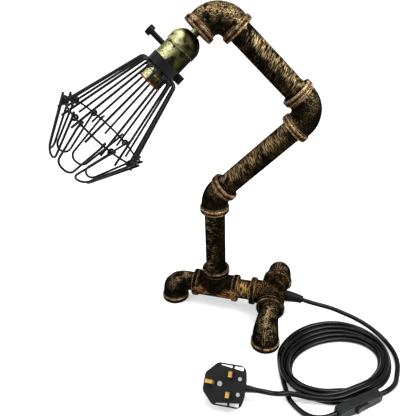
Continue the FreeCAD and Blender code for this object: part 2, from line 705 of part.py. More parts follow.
window_ends = ((window_x[0], window_bar_x - window_bar / 2), (window_bar_x + window_bar / 2, window_x[1]))
windows = [finger_window(side, a, b) for side in (-1, 1) for a, b in window_ends]
line_ys = (-pin_row / 2, pin_row / 2)
pin_ways = [pin(earth_x, 0, earth_pin, fit_gap)] + [pin(line_x, y, line_pin, fit_gap) for y in line_ys]
screw_list = [(earth_x + 9.8, 0, 5.6), (wide_x - 7.6, 8.6, 4.4), (wide_x - 7.6, -8.6, 4.4)]
screw_ways = [plug_screw(x, y, head, 0.2) for x, y, head in screw_list]
sleeves = []
for y in line_ys:
    wrap = block(line_x - line_pin[0] / 2 - 0.5, line_x + line_pin[0] / 2 + 0.5, y - line_pin[1] / 2 - 0.5,
                 y + line_pin[1] / 2 + 0.5, fit_gap, sleeve_length)
    sleeves.append(wrap.cut(pin(line_x, y, line_pin, fit_gap)))

grip_at = at(x=wide_x, z=plate_z - grip_d / 2 + 1.6, axis=Y, angle=90)
grip_sunk = 5.8
grip_way = put(rod(grip_d + 0.2, -grip_sunk - 0.1, grip_length), grip_at)
rib_pitch = grip_length / 5
grip_profile = [(0, -grip_sunk), (grip_d / 2, -grip_sunk)]
for i in range(5):
    rib_r = grip_d / 2 - 0.22 * i
    grip_profile += [(rib_r, i * rib_pitch + 0.5), (rib_r - 0.9, i * rib_pitch + 0.5),
                     (rib_r - 0.9, (i + 1) * rib_pitch - 0.6), (rib_r, (i + 1) * rib_pitch - 0.6)]
grip_profile += [(flex_d / 2 + 0.6, grip_length + 0.4), (0, grip_length + 0.4)]


def plug_cover():
    """The hump behind the plate, drawn in towards the back."""
    solid = block(narrow_x + 3, wide_x - 1.0, -plug_back / 2, plug_back / 2, -plug_depth, plate_z - fit_gap)
    solid = solid.makeFillet(plug_corner, upright_edges(solid))
    return solid.makeChamfer(plug_back_taper, [e for e in solid.Edges if abs(e.CenterOfMass.z + plug_depth) < 1e-6])


fuse_at = at(x=fuse_x, y=-fuse_length / 2, z=plate_z - fuse_d / 2 - 0.6, axis=X, angle=-90)
fuse_way = put(rod(fuse_d + 0.8, -0.4, fuse_length + 0.4), fuse_at)
plug = {"plug_plate": plug_plate_outline().cut(windows + pin_ways + screw_ways + [grip_way]),
        "plug_cover": plug_cover().cut([fuse_way, grip_way]),
        "plug_earth_pin": pin(earth_x, 0, earth_pin),
        "plug_line_pins": Part.makeCompound([pin(line_x, y, line_pin) for y in line_ys]),
        "plug_pin_sleeves": Part.makeCompound(sleeves),
        "plug_screws": Part.makeCompound([plug_screw(*place) for place in screw_list]),
        "plug_fuse": put(rod(fuse_d, 0, fuse_length), fuse_at),
        "plug_grip": put(turned(*grip_profile), grip_at)}
rolled = at(angle=plug_turn).multiply(at(axis=X, angle=plug_roll))
lowest = min(put(plug[name], rolled).optimalBoundingBox(False).ZMin for name in ("plug_plate", "plug_cover"))
plug_at = at(x=plug_x, y=plug_y, z=-lowest).multiply(rolled)
for name, shape in plug.items():
    parts[name] = put(shape, plug_at)

# ================================================================ free flex: lead, switch, coil, tail, plug
inline_lead_end = inline_at.multVec(Vector(inline_length / 2, 0, 0))
inline_far_end = inline_at.multVec(Vector(-inline_length / 2, 0, 0))
inline_along = Vector(math.cos(math.radians(inline_turn)), math.sin(math.radians(inline_turn)), 0)
low = flex_d / 2
lead = [flex_exit, flex_exit + relief_along * 13, Vector(148, 2.0, 23.5), Vector(163, 2.6, 20.5),
        Vector(179, 0.4, 17.0), Vector(195, -2.4, 13.4), Vector(211.5, -7.6, 9.0), Vector(226.5, -16.6, 4.8),
        Vector(238.4, -30.5, low), Vector(245.6, -46, low), Vector(247.8, -62, low), Vector(246, -78, low),
        Vector(243.7, -93.1, low + 2.1), inline_lead_end + inline_along * 13.2, inline_lead_end]
parts["flex_lead"] = cord("flex_lead", lead)

coil_outer = (78.0, 63.3)      # half axes
coil_x, coil_y, coil_turn = 167.8, -78.0, 52.4
coil_hole = (58.9, 34.9)
coil_hole_x, coil_hole_y, coil_hole_turn = 172.8, -79.8, 33.1
coil_height = 12.0
coil_round = 4.0
coil_gap = 0.3


def oval(half_axes, height):
    return Part.Face(Part.Wire(Part.Ellipse(O, *half_axes).toShape())).extrude(Z * height)


coil = oval(coil_outer, coil_height)
coil = coil.makeFillet(coil_round, [e for e in coil.Edges if e.Closed])
coil = put(coil, at(x=coil_x, y=coil_y, angle=coil_turn))
coil_hole_at = at(coil_hole_x, coil_hole_y, -coil_height, Z, coil_hole_turn)
coil = coil.cut(put(oval(coil_hole, 3 * coil_height), coil_hole_at))
inline_room = put(block(-inline_length / 2 - 8, inline_length / 2 + 8, -inline_height, inline_height,
                        -face_z - coil_gap, coil_height), inline_at)
parts["flex_coil"] = coil.cut(inline_room)

link = [inline_far_end, inline_far_end - inline_along * 10.3, Vector(160, -163, 6.6),
        Vector(148.7, -162.1, 4.3), Vector(138.5, -156.6, low), Vector(129.5, -149.5, low),
        Vector(123.5, -142.0, low)]
parts["flex_link"] = cord("flex_link", link)
grip_end = plug_at.multVec(grip_at.multVec(Z * (grip_length + 0.4)))
tail_out = plug_at.Rotation.multVec(X)
tail = [grip_end, grip_end + tail_out * 8.3, Vector(103.4, -150.8, 16.1), Vector(113.1, -146.2, 9.6),
        Vector(119, -137.5, low)]
print("plug grip ends at", [round(c, 1) for c in grip_end])
parts["flex_tail"] = cord("flex_tail", tail)

# ================================================================ origin and files
corded = {"flex_lead", "flex_link", "flex_coil", "flex_tail"} | set(inline) | set(plug)
box = FreeCAD.BoundBox()
for name, shape in parts.items():
    if name not in corded:
        box.add(shape.optimalBoundingBox(False))
origin_x, origin_y = box.Center.x, box.Center.y
to_origin = at(x=-origin_x, y=-origin_y)
os.makedirs("parts", exist_ok=True)
for name, shape in parts.items():
    put(shape, to_origin).exportStep("parts/%s.step" % name)
print("lamp %.1f x %.1f x %.1f, riser axis at x %.2f y %.2f, %d nodes"
      % (box.XLength, box.YLength, box.ZLength, -origin_x, -origin_y, len(parts)))
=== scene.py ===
"""Looks of the industrial pipe table lamp. Metres, in the frame of the CAD model."""
import json
import math
import bmesh
import bpy
from mathutils import Matrix, Vector


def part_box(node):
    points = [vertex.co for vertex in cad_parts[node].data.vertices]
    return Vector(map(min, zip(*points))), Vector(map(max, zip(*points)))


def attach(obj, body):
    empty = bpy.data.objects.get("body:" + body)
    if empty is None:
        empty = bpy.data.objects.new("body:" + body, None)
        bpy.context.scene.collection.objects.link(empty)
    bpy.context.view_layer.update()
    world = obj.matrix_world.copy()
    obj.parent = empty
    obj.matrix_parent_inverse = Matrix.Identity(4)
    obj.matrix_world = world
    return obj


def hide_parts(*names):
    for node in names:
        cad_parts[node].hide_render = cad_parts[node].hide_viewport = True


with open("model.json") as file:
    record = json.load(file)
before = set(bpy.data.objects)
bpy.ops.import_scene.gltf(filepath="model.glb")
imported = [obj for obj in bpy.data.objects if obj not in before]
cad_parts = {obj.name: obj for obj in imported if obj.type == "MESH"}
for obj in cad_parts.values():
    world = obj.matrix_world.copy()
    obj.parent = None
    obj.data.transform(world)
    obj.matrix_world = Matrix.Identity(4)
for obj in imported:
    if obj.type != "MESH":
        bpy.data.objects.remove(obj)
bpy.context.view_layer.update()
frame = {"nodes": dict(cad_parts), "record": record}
MM = 0.001
riser_low, riser_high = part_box("riser_pipe")
RISER = Vector(((riser_low.x + riser_high.x) / 2, (riser_low.y + riser_high.y) / 2, 0.0))
hinges = {joint["child"]: joint for joint in frame["record"]["behaviour"]["joints"]}


def mm(x, y, z):
    """A point given in mm from the foot of the riser's axis, as the flex's route is."""
    return Vector((x, y, z)) * MM + RISER


def axis_of(body):
    """The axis on which a body turns."""
    return Vector(hinges[body]["axis"])


def put_in_scene(name, data):
    """A new object with this data."""
    obj = bpy.data.objects.new(name, data)
    bpy.context.scene.collection.objects.link(obj)
    return obj


# ================================================================ camera, solved from the photograph
CAMERA_AT = mm(145.4, -535.3, 508.4)
CAMERA_RIGHT = Vector((0.9648, 0.2620, -0.0250))
CAMERA_UP = Vector((-0.1186, 0.5177, 0.8473))
CAMERA_LENS = 43.98


def make_camera():
    data = bpy.data.cameras.new("camera")
    data.lens = CAMERA_LENS
    data.sensor_width = 36
    data.sensor_fit = "AUTO"
    camera = put_in_scene("camera", data)
    right = CAMERA_RIGHT.normalized()
    back = right.cross(CAMERA_UP).normalized()
    up = back.cross(right)
    turn = Matrix((right, up, back)).transposed().to_4x4()
    camera.matrix_world = Matrix.Translation(CAMERA_AT) @ turn
    bpy.context.scene.camera = camera


make_camera()

# ================================================================ flex, in mm from the foot of the riser
FLEX = 6.2                                       # diameter
LOW = FLEX / 2                                   # height of its middle where it lies on the table
SWITCH_AT, SWITCH_TURN, SWITCH_HALF, SWITCH_Z = (201.3, -134.4), 38.9, 30.0, 8.0


def switch_point(along):
    """A point on the long axis of the in-line switch, from its middle."""
    turn = math.radians(SWITCH_TURN)
    return (SWITCH_AT[0] + along * math.cos(turn), SWITCH_AT[1] + along * math.sin(turn), SWITCH_Z)


EXIT = (121.20, 0.0, 29.89)
LEAD = [EXIT, (133.9, 0.0, 26.97), (148, 2.0, 23.5), (163, 2.6, 20.5), (179, 0.4, 17.0), (195, -2.4, 13.4),
        (211.5, -7.6, 9.0), (226.5, -16.6, 4.8), (238.4, -30.5, LOW), (245.6, -46, LOW), (247.8, -62, LOW),
        (246, -78, LOW), (243.7, -93.1, LOW + 2.1), switch_point(SWITCH_HALF + 13.2),
        switch_point(SWITCH_HALF)]
LINK = [switch_point(-SWITCH_HALF), switch_point(-SWITCH_HALF - 10.3), (160, -163, 6.6),
        (148.7, -162.1, 4.3), (138.5, -156.6, LOW), (129.5, -149.5, LOW), (121.5, -141.0, LOW)]
TAIL = [(150, -141.5, 9.8), (134, -140.2, 9.8), (121, -141.3, 9.9), (112, -146, 11.8), (103.4, -150.4, 15.8),
        (94.3, -152.5, 18.7), (86.0, -152.8, 18.7)]

# The turns lie between two ovals: centre x and y, half axes, and turn in degrees.
COIL_OUT = (169.8, -74.4, 74.6, 63.6, 49.0)
COIL_IN = (172.6, -79.0, 61.5, 39.5, 33.1)
TURN_POINTS = 16
FIRST_POINT = 2                                  # the link's last points stand for those before it
COLUMNS = (1.0, 0.5, 0.0, 0.25, 0.75)            # each turn's share of the way from inner to outer oval
LOWER_TURNS = 2                                  # turns that cross to a place beside them, not over one
START_ANGLE = -127.0
CROSS_FROM = 0.80                                # share of a turn where it starts to cross to the next place
CLIMB = (CROSS_FROM + 0.02, CROSS_FROM + 0.10)   # where the first upper turn leaves the table
HUMP = 0.08                                      # share of a turn in which an upper one climbs or descends
OVER = LOW + FLEX + 0.3                          # height of a strand that passes over another
LEAVING = 0.95                                   # where the last turn is when it leaves the coil
SWITCH_SIDE, SWITCH_EASE = 11.2, 2.0             # from the switch's middle to the strand beside it


def oval_point(oval, angle):
    """The point of an oval that is seen from its centre at this angle."""
    x, y, a, b, turn = oval
    local = math.radians(angle - turn)
    reach = 1 / math.hypot(math.cos(local) / a, math.sin(local) / b)
    return Vector((x + reach * math.cos(math.radians(angle)), y + reach * math.sin(math.radians(angle))))


def beside_switch(spot):
    """The point, kept clear of the side of the switch."""
    turn = math.radians(SWITCH_TURN)
    away = Vector((-math.sin(turn), math.cos(turn)))
    off = (spot - Vector(SWITCH_AT)).dot(away)
    kept = SWITCH_SIDE + SWITCH_EASE * math.log1p(math.exp((off - SWITCH_SIDE) / SWITCH_EASE))
    return spot + away * (kept - off)


def strand_heights(width):
    """Heights of the five strands across a band of this width: a strand rests on those beside it."""
    def on(below, apart):
        return below + math.sqrt(max(0.0, FLEX ** 2 - apart ** 2))
    middle = on(LOW, width / 2) if width / 2 < FLEX else LOW
    upper = on((middle + LOW) / 2, width / 4) if width / 4 < FLEX else LOW
    return {1.0: LOW, 0.0: LOW, 0.5: middle, 0.25: upper, 0.75: upper}


def eased(value, low, high):
    """0 at low, 1 at high, smooth between."""
    share = min(1.0, max(0.0, (value - low) / (high - low)))
    return share * share * (3 - 2 * share)


def coil_points():
    """Each turn crosses to the next one's place near its end, the upper ones over the lower."""
    points = []
    turns = len(COLUMNS)
    for i in range(FIRST_POINT, turns * TURN_POINTS - 1):
        share = i / TURN_POINTS
        turn = int(share)
        angle = START_ANGLE - 360 * share
        into = share - turn
        cross = eased(into, CROSS_FROM, 1.0)
        following = COLUMNS[turn + 1] if turn + 1 < turns else LEAVING
        column = COLUMNS[turn] + (following - COLUMNS[turn]) * cross
        inner, outer = oval_point(COIL_IN, angle), beside_switch(oval_point(COIL_OUT, angle))
        heights = strand_heights((outer - inner).length)
        height = heights[COLUMNS[turn]]
        if turn < LOWER_TURNS:
            height += (heights[following] - height) * cross
        elif turn == LOWER_TURNS:
            height += (OVER - height) * eased(into, *CLIMB)
        else:
            up, down = eased(into, CROSS_FROM - HUMP, CROSS_FROM), 1 - eased(into, 0.0, HUMP)
            height += (OVER - height) * max(up, down)
        spot = inner.lerp(outer, column)
        points.append((spot.x, spot.y, height))
    return points


def make_flex():
    points = [mm(*p) for p in LEAD + LINK + coil_points() + TAIL]
    data = bpy.data.curves.new("flex", "CURVE")
    data.dimensions = "3D"
    spline = data.splines.new("NURBS")
    spline.points.add(len(points) - 1)
    for point, place in zip(spline.points, points):
        point.co = (*place, 1)
        point.radius = LOW * MM
    spline.order_u = 3
    spline.use_endpoint_u = True
    data.resolution_u = 6
    data.bevel_depth = 1.0                       # times each point's radius
    data.bevel_resolution = 5
    data.use_fill_caps = True
    flex = put_in_scene("flex", data)
    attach(flex, "base")
    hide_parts("flex_lead", "flex_link", "flex_coil", "flex_tail")
    return flex


flex = make_flex()


# ================================================================ shader nodes
def srgb(red, green, blue):
    """A colour given as 0-255 screen values."""
    def linear(c):
        return c / 255 / 12.92 if c <= 10 else ((c / 255 + 0.055) / 1.055) ** 2.4
    return (linear(red), linear(green), linear(blue), 1.0)


def fill(tree, node, key, value):
    """Gives a node's input a socket, which is linked, or a value, which is set."""
    if isinstance(value, bpy.types.NodeSocket):
        tree.links.new(value, node.inputs[key])
    else:
        node.inputs[key].default_value = value


def add(tree, kind, inputs=None, **settings):
    """A shader node with its settings and its inputs."""
    node = tree.nodes.new("ShaderNode" + kind)
    for name, value in settings.items():
        setattr(node, name, value)
    for key, value in (inputs or {}).items():
        fill(tree, node, key, value)
    return node


def new_material(name, **values):
    """A material with one Principled shader, and its tree."""
    material = bpy.data.materials.new(name)
    material.use_nodes = True
    tree = material.node_tree
    shader = tree.nodes["Principled BSDF"]
    for key, value in values.items():
        shader.inputs[key.replace("_", " ")].default_value = value
    return material, tree, shader


def calc(tree, operation, *values):
    """A sum on numbers or sockets."""
    return add(tree, "Math", dict(enumerate(values)), operation=operation).outputs[0]


def times(tree, a, b):
    return calc(tree, "MULTIPLY", a, b)


def minus(tree, place, point):
    """The vector from a point to a place."""
    return add(tree, "VectorMath", {0: place, 1: point}, operation="SUBTRACT").outputs[0]


def dot(tree, a, b):
    return add(tree, "VectorMath", {0: a, 1: b}, operation="DOT_PRODUCT").outputs["Value"]


def object_place(tree):
    return add(tree, "TexCoord").outputs["Object"]


NEARLY_ALONG = 0.9                               # cosine from which an axis counts as along another


def local_place(tree, axis=None, tilt=0.0, stretch=(1, 1, 1)):
    """Object coordinates turned so that +Z is the axis, tilted about the side that faces the photograph's
    viewer, then scaled."""
    place = object_place(tree)
    if axis is not None:
        z = Vector(axis).normalized()
        side = CAMERA_RIGHT if abs(z.dot(CAMERA_RIGHT)) < NEARLY_ALONG else CAMERA_UP
        x = side.cross(z).normalized()
        turn = Matrix.Rotation(math.radians(tilt), 3, "X") @ Matrix((x, z.cross(x), z))
        place = add(tree, "Mapping", {0: place, "Rotation": turn.to_euler()}).outputs[0]
    return add(tree, "Mapping", {0: place, "Scale": stretch}).outputs[0]


def noise(tree, place, scale, detail=3.0, roughness=0.6, distortion=0.0):
    return add(tree, "TexNoise", {"Vector": place, "Scale": scale, "Detail": detail, "Roughness": roughness,
                                  "Distortion": distortion}).outputs["Fac"]


def ramp(tree, value, low, high):
    """0 below low, 1 above high, smooth between."""
    return add(tree, "MapRange", {"Value": value, "From Min": low, "From Max": high},
               interpolation_type="SMOOTHSTEP").outputs["Result"]


def between(tree, value, low, high):
    """A 0 to 1 value brought to low to high."""
    return add(tree, "MapRange", {"Value": value, "To Min": low, "To Max": high}).outputs["Result"]


def mixed(tree, factor, a, b):
    """Colour a where the factor is 0, b where it is 1. The numbers are the Mix node's colour sockets."""
    node = add(tree, "Mix", data_type="RGBA")
    for index, value in ((0, factor), (6, a), (7, b)):
        fill(tree, node, index, value)
    return node.outputs[2]


def facing(tree, toward, low, high):
    """0 to 1 with how far the surface faces this way, in the object's own axes."""
    normal = add(tree, "TexCoord").outputs["Normal"]
    return ramp(tree, dot(tree, normal, Vector(toward).normalized()), low, high)


def edge_wear_and_glint(tree, radius, low, high):
    """1 on edges: where the bevelled normal leaves the true one. It marks bare worn edges, and on brass a
    painted highlight line.
    """
    bevel = add(tree, "Bevel", {"Radius": radius}, samples=6).outputs[0]
    normal = add(tree, "NewGeometry").outputs["Normal"]
    return ramp(tree, calc(tree, "SUBTRACT", 1.0, dot(tree, bevel, normal)), low, high)


def crevice(tree, distance, low, high):
    """0 in corners, 1 in the open."""
    near = add(tree, "AmbientOcclusion", {"Distance": distance}, samples=6).outputs["AO"]
    return ramp(tree, near, low, high)


def bump(tree, shader, height, strength, distance):
    """Raises the surface by this height, which is a socket."""
    node = add(tree, "Bump", {"Height": height, "Strength": strength, "Distance": distance})
    tree.links.new(node.outputs[0], shader.inputs["Normal"])


# ================================================================ brushed and rubbed paint, with painted highlight and painted shade
BLACK = srgb(8, 8, 6)
BRONZE = srgb(78, 58, 32)
GOLD = srgb(196, 168, 120)
# Bare copper of worn edges: lit copper, and the same copper darkened as painted shade away from the lamps.
COPPER = srgb(222, 187, 140)
SHADED_COPPER = srgb(114, 77, 50)
TOP_LIGHT = (0.20, -0.42, 0.88)                  # the side toward the lamps, object axes: gold and bronze there, and lit copper edges, are a painted highlight

# Where a layer begins and where it is full, by the noise of the strokes and of the patches.
BRONZE_STROKES, BRONZE_PATCHES = (0.51, 0.64), (0.34, 0.58)
GOLD_STROKES, GOLD_PATCHES = (0.48, 0.64), (0.38, 0.58)
AMOUNT_SHIFT = 0.10                              # how far the amount moves the limits of the strokes
WORN_ROUNDING = (0.002, 0.030)                   # how sharp an edge is where it starts to wear, and is bare
WORN_STROKES, WORN_MORE = (0.62, 0.54), 0.24     # limits for no wear, and how far wear lowers the first
CORNER_REACH, CORNER_OPEN = 0.005, (0.66, 0.90)  # corners keep their paint
COPPER_LIT_SIDE, BRIGHT_PATCHES = (-0.2, 0.9), (0.30, 0.60)      # how far a bare edge faces the lamps, and the patches, where it is lit copper as a painted highlight; elsewhere darker copper, painted shade
SEAM_HALF, SEAM_GAPS = (0.0005, 0.0012), (0.52, 0.60)        # half width of a seam, and where it is broken
PAINT_ROUGHNESS, GOLD_METALLIC = 0.36, 0.5


def rubbed_and_lit_metal(name, strokes, patches, amount, toward, gold, wear=0.0, edge=0.0045, lit=(0.35, 1.0),
                 skin=0.7, seam=None, where=None):
    """Black paint with bronze dry-brushed all over it, gold where it faces one way, and worn edges. The gold
    and full bronze on that side are a painted highlight, the thinner bronze away from it painted shade, and
    bare edges are lit copper toward the lamps and copper darkened as painted shade away from them.

    amount is how much bronze and gold there is, 0.5 for the limits above, and wear how bare the edges are,
    0 to 1. edge is the width of the worn edges, lit how far a surface faces that way before it is gold,
    skin the share of bronze where it doesn't, which is painted shade, seam the plane (normal, point) of a
    casting seam that stays black, and where a function that gives 1 where the gold and the lit-side bronze
    may lie, 0 where they are left out."""
    material, tree, shader = new_material(name, Roughness=PAINT_ROUGHNESS, Specular_IOR_Level=0.0)
    stroke, patch = strokes(tree), patches(tree)
    side = facing(tree, toward, *lit)
    if where:
        side = times(tree, side, where(tree))
    shift = AMOUNT_SHIFT * (0.5 - amount)

    def layer(on_strokes, on_patches):
        low, high = on_strokes
        return times(tree, ramp(tree, stroke, low + shift, high + shift), ramp(tree, patch, *on_patches))
    # Bronze strokes, thinner on the side turned away: painted shade.
    bronze_and_shade = times(tree, layer(BRONZE_STROKES, BRONZE_PATCHES), between(tree, side, skin, 1.0))
    colour = mixed(tree, bronze_and_shade, BLACK, BRONZE)
    # Gold strokes only on the side that faces that way: a painted highlight.
    rub_and_highlight = times(tree, layer(GOLD_STROKES, GOLD_PATCHES), side)
    colour = mixed(tree, rub_and_highlight, colour, gold)
    if wear:
        low, high = WORN_STROKES
        scuffs = ramp(tree, stroke, low - WORN_MORE * wear, high)
        worn = times(tree, edge_wear_and_glint(tree, edge, *WORN_ROUNDING), scuffs)
        worn = times(tree, worn, crevice(tree, CORNER_REACH, *CORNER_OPEN))
        # Bare copper lit toward the lamps and darkened away from them: painted highlight and painted shade.
        highlight_mask = times(tree, facing(tree, TOP_LIGHT, *COPPER_LIT_SIDE), ramp(tree, patch, *BRIGHT_PATCHES))
        colour = mixed(tree, worn, colour, mixed(tree, highlight_mask, SHADED_COPPER, COPPER))
        rub_and_highlight = calc(tree, "MAXIMUM", rub_and_highlight, worn)
    if seam:
        normal, point = seam
        off = calc(tree, "ABSOLUTE", dot(tree, minus(tree, object_place(tree), point), normal))
        clear = calc(tree, "MAXIMUM", ramp(tree, off, *SEAM_HALF), ramp(tree, patch, *SEAM_GAPS))
        colour = mixed(tree, clear, BLACK, colour)
    tree.links.new(colour, shader.inputs["Base Color"])
    tree.links.new(times(tree, rub_and_highlight, GOLD_METALLIC), shader.inputs["Metallic"])
    bump(tree, shader, stroke, strength=0.5, distance=0.0004)
    return material


def brushed_pipe(name, axis, tilt, amount, toward=TOP_LIGHT, gold=GOLD):
    """Pipe: the strokes run round it, a little aslant."""
    def strokes(tree):
        place = local_place(tree, axis, tilt, stretch=(0.12, 0.12, 1))
        return noise(tree, place, scale=1150, detail=2.5, distortion=0.25)

    def patches(tree):
        return noise(tree, local_place(tree, axis, tilt, stretch=(0.6, 0.6, 1)), scale=75)
    return rubbed_and_lit_metal(name, strokes, patches, amount, toward, gold)


def brushed_casting(name, amount, toward=TOP_LIGHT, gold=GOLD, wear=1.0, along=(0.55, 0.35, 0.75),
                    stretch=(0.45, 1, 0.45), scale=1400, **more):
    """Casting: short strokes over a sandy skin, and bare edges."""
    def strokes(tree):
        place = local_place(tree, along, tilt=20, stretch=stretch)
        return noise(tree, place, scale, detail=5, roughness=0.68, distortion=0.4)

    def patches(tree):
        return noise(tree, local_place(tree), scale=95, distortion=0.5)
    return rubbed_and_lit_metal(name, strokes, patches, amount, toward, gold, wear, **more)


def dress(node, material):
    """Puts a material on a CAD node, or on a piece."""
    obj = frame["nodes"][node] if isinstance(node, str) else node
    obj.data.materials.clear()
    obj.data.materials.append(material)


# Painted light on these finishes: gold and full bronze on the side each faces, and lit copper edges, are a
# painted highlight; thinner bronze and darker copper away from it are painted shade.
dress("riser_pipe", brushed_pipe("riser_brushed", axis_of("riser"), tilt=-16, amount=0.25,
                                 toward=(-0.5, -0.85, 0.1), gold=srgb(112, 92, 60)))
dress("lower_arm_pipe", brushed_pipe("lower_arm_brushed", axis_of("lower_arm"), tilt=20, amount=0.85))
dress("upper_arm_pipe", brushed_pipe("upper_arm_brushed", axis_of("upper_arm"), tilt=-20, amount=0.62))
dress("base_nipple", brushed_pipe("nipple_brushed", (1, 0, 0), tilt=12, amount=1.0, toward=(0, -0.75, 0.5),
                                  gold=srgb(178, 138, 84)))
head_casting = brushed_casting("head_rubbed", amount=0.5)
dress("head_elbow", head_casting)
dress("head_bush", head_casting)
arm_casting = brushed_casting("arm_rubbed", amount=0.36, wear=0.85)
dress("riser_elbow", arm_casting)
dress("knee_elbow", arm_casting)

nipple_low, nipple_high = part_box("base_nipple")
TEE_MIDDLE = Vector((RISER.x, RISER.y, (nipple_low.z + nipple_high.z) / 2))
V_SLOPE, V_EDGE = 0.9, (0.005, 0.013)            # the V under the tee's branch, where the gold and the lit-side bronze are left out


def beside_branch(tree):
    """1 on the lower flanks of the riser's tee, 0 in a V under its branch."""
    parts = add(tree, "SeparateXYZ", {0: minus(tree, object_place(tree), TEE_MIDDLE)}).outputs
    aside = times(tree, calc(tree, "ABSOLUTE", parts["X"]), V_SLOPE)
    return ramp(tree, calc(tree, "SUBTRACT", aside, parts["Z"]), *V_EDGE)


dress("riser_tee", brushed_casting("tee_rubbed", amount=0.75, toward=(-0.25, -0.90, -0.35),
                                   gold=srgb(158, 108, 62), edge=0.0016, lit=(0.4, 0.85), skin=0.3,
                                   where=beside_branch, along=(1, 0, 0), stretch=(1, 1, 0.3), scale=900))
dress("rear_tee", brushed_casting("rear_tee_rubbed", amount=0.2, gold=srgb(150, 108, 62), edge=0.0016,
                                  skin=0.4, along=(0, 1, 0), stretch=(0.3, 1, 1), scale=900))
for foot, across in (("left_foot_elbow", (0, 1, 0)), ("front_foot_elbow", (1, 0, 0)),
                     ("back_foot_elbow", (1, 0, 0))):
    low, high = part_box(foot)
    dress(foot, brushed_casting(foot + "_rubbed", amount=0.25, wear=0.3, edge=0.0025, skin=0.5,
                                seam=(across, (low + high) / 2)))

# ================================================================ lampholder, of aged brass
# The pale brass is a painted highlight colour; the dark brass serves for blotches, spots and painted shade.
HIGHLIGHT_BRASS = srgb(186, 186, 138)
MID_BRASS = srgb(96, 94, 50)
DARK_BRASS = srgb(22, 21, 9)
SLEEVE_BRASS = srgb(104, 90, 56)
RIM_COPPER = srgb(132, 84, 46)
BRASS_LIT_SIDE = (-0.85, -0.45, 0.35)                # the side toward the lamps: painted highlight there, painted shade away from it

# Where a layer begins and where it is full, by how far the sheet faces that side and by the noise. The
# facing limits give the painted highlight and the painted shade.
HIGHLIGHT_FACING, BRIGHT_CLOUD = (0.15, 0.60), (0.30, 0.46)
SHADE_FACING, TARNISH_CLOUD = (-0.6, 0.7), (0.40, 0.68)
# Width and rounding of the painted highlight lines along the brass edges.
EDGE_WIDTH, EDGE_ROUNDING = 0.0007, (0.02, 0.15)
SPOT_LIMITS, SPOT_DEPTH = (0.57, 0.62), 0.95
BRASS_ROUGHNESS = (0.22, 0.46)
RIM_FROM, RIM_FULL = 0.0024, 0.0014              # from the open end of the sleeve back to its copper rim

holder_axis = axis_of("lampholder")
holder_from = Vector(hinges["lampholder"]["pos_m"])
sleeve_end = max((v.co - holder_from).dot(holder_axis) for v in frame["nodes"]["screw_shell"].data.vertices)


def aged_brass(name, mid=MID_BRASS, rim=None):
    """Brass sheet gone green and brown and blotched dark, with a painted highlight on the side toward the
    lamps, painted shade on the other side, and painted highlight lines along the edges.

    rim is a pair of a function that gives 1 on the bare rim, and its colour."""
    material, tree, shader = new_material(name, Roughness=0.30, Metallic=0.9,
                                          Specular_Tint=(0.25, 0.24, 0.16, 1))
    place = local_place(tree)
    cloud = noise(tree, place, scale=110, detail=4, distortion=0.6)
    spots = noise(tree, place, scale=420, detail=4, roughness=0.7)
    # Painted highlight on the side toward the lamps, broken by the cloud; away from that side the dark brass
    # is painted shade, and where the cloud is low it is dark blotches.
    highlight_mask = times(tree, facing(tree, BRASS_LIT_SIDE, *HIGHLIGHT_FACING), ramp(tree, cloud, *BRIGHT_CLOUD))
    unblotched_and_lit = times(tree, ramp(tree, cloud, *TARNISH_CLOUD), facing(tree, BRASS_LIT_SIDE, *SHADE_FACING))
    colour = mixed(tree, unblotched_and_lit, DARK_BRASS, mid)
    colour = mixed(tree, highlight_mask, colour, HIGHLIGHT_BRASS)
    # Painted highlight lines along the edges of the brass.
    colour = mixed(tree, edge_wear_and_glint(tree, EDGE_WIDTH, *EDGE_ROUNDING), colour, HIGHLIGHT_BRASS)
    colour = mixed(tree, times(tree, ramp(tree, spots, *SPOT_LIMITS), SPOT_DEPTH), colour, DARK_BRASS)
    if rim:
        on_rim, rim_colour = rim
        colour = mixed(tree, on_rim(tree), colour, rim_colour)
    tree.links.new(colour, shader.inputs["Base Color"])
    tree.links.new(between(tree, spots, *BRASS_ROUGHNESS), shader.inputs["Roughness"])
    bump(tree, shader, spots, strength=0.15, distance=0.0003)
    return material


def sleeve_rim(tree):
    """1 on the rim at the open end of the screw sleeve."""
    along = dot(tree, minus(tree, object_place(tree), holder_from), holder_axis)
    return ramp(tree, along, sleeve_end - RIM_FROM, sleeve_end - RIM_FULL)


brass = aged_brass("lampholder_brass")
for part in ("holder_cap", "holder_shell", "holder_nipple"):
    dress(part, brass)
dress("screw_shell", aged_brass("sleeve_brass", mid=SLEEVE_BRASS, rim=(sleeve_rim, RIM_COPPER)))

# ================================================================ webs between the wires, under the collar
# Radius and height of the wires' middle from the crown down, and the height of the sleeve's open end, mm.
WEB_PATH = [(16.8, 55.3), (19.3, 55.7), (21.3, 56.1), (22.9, 56.95), (24.2, 58.4), (25.0, 60.1),
            (25.8, 63.0), (26.6, 65.9), (29.4, 75.6)]
SLEEVE_END = 73.3
WIRES = 8
WEB_HALF = 360 / WIRES / 4                       # from a web's middle to the wire beside it, degrees
WEB_SHORT, WEB_LONG = 6.5, 18.0                  # how far it runs down in its middle and at the wires, mm
WEB_CURVE = 1.6                                  # power of the curve of its lower edge
WEB_THICK = 1.5
WEB_ROWS, WEB_COLUMNS = 8, 9
LUMPS = 0.22                                     # share by which the weld swells and thins
LUMP_WAVES = (7.1, 5.3, 3.7, 2.3)                # by web, row, column and web again, radians


def along_path(path, run):
    """The point of a path, and its direction, after this much of its length."""
    for a, b in zip(path, path[1:]):
        a, b = Vector(a), Vector(b)
        if run <= (b - a).length or b == Vector(path[-1]):
            return a + (b - a).normalized() * run, (b - a).normalized()
        run -= (b - a).length


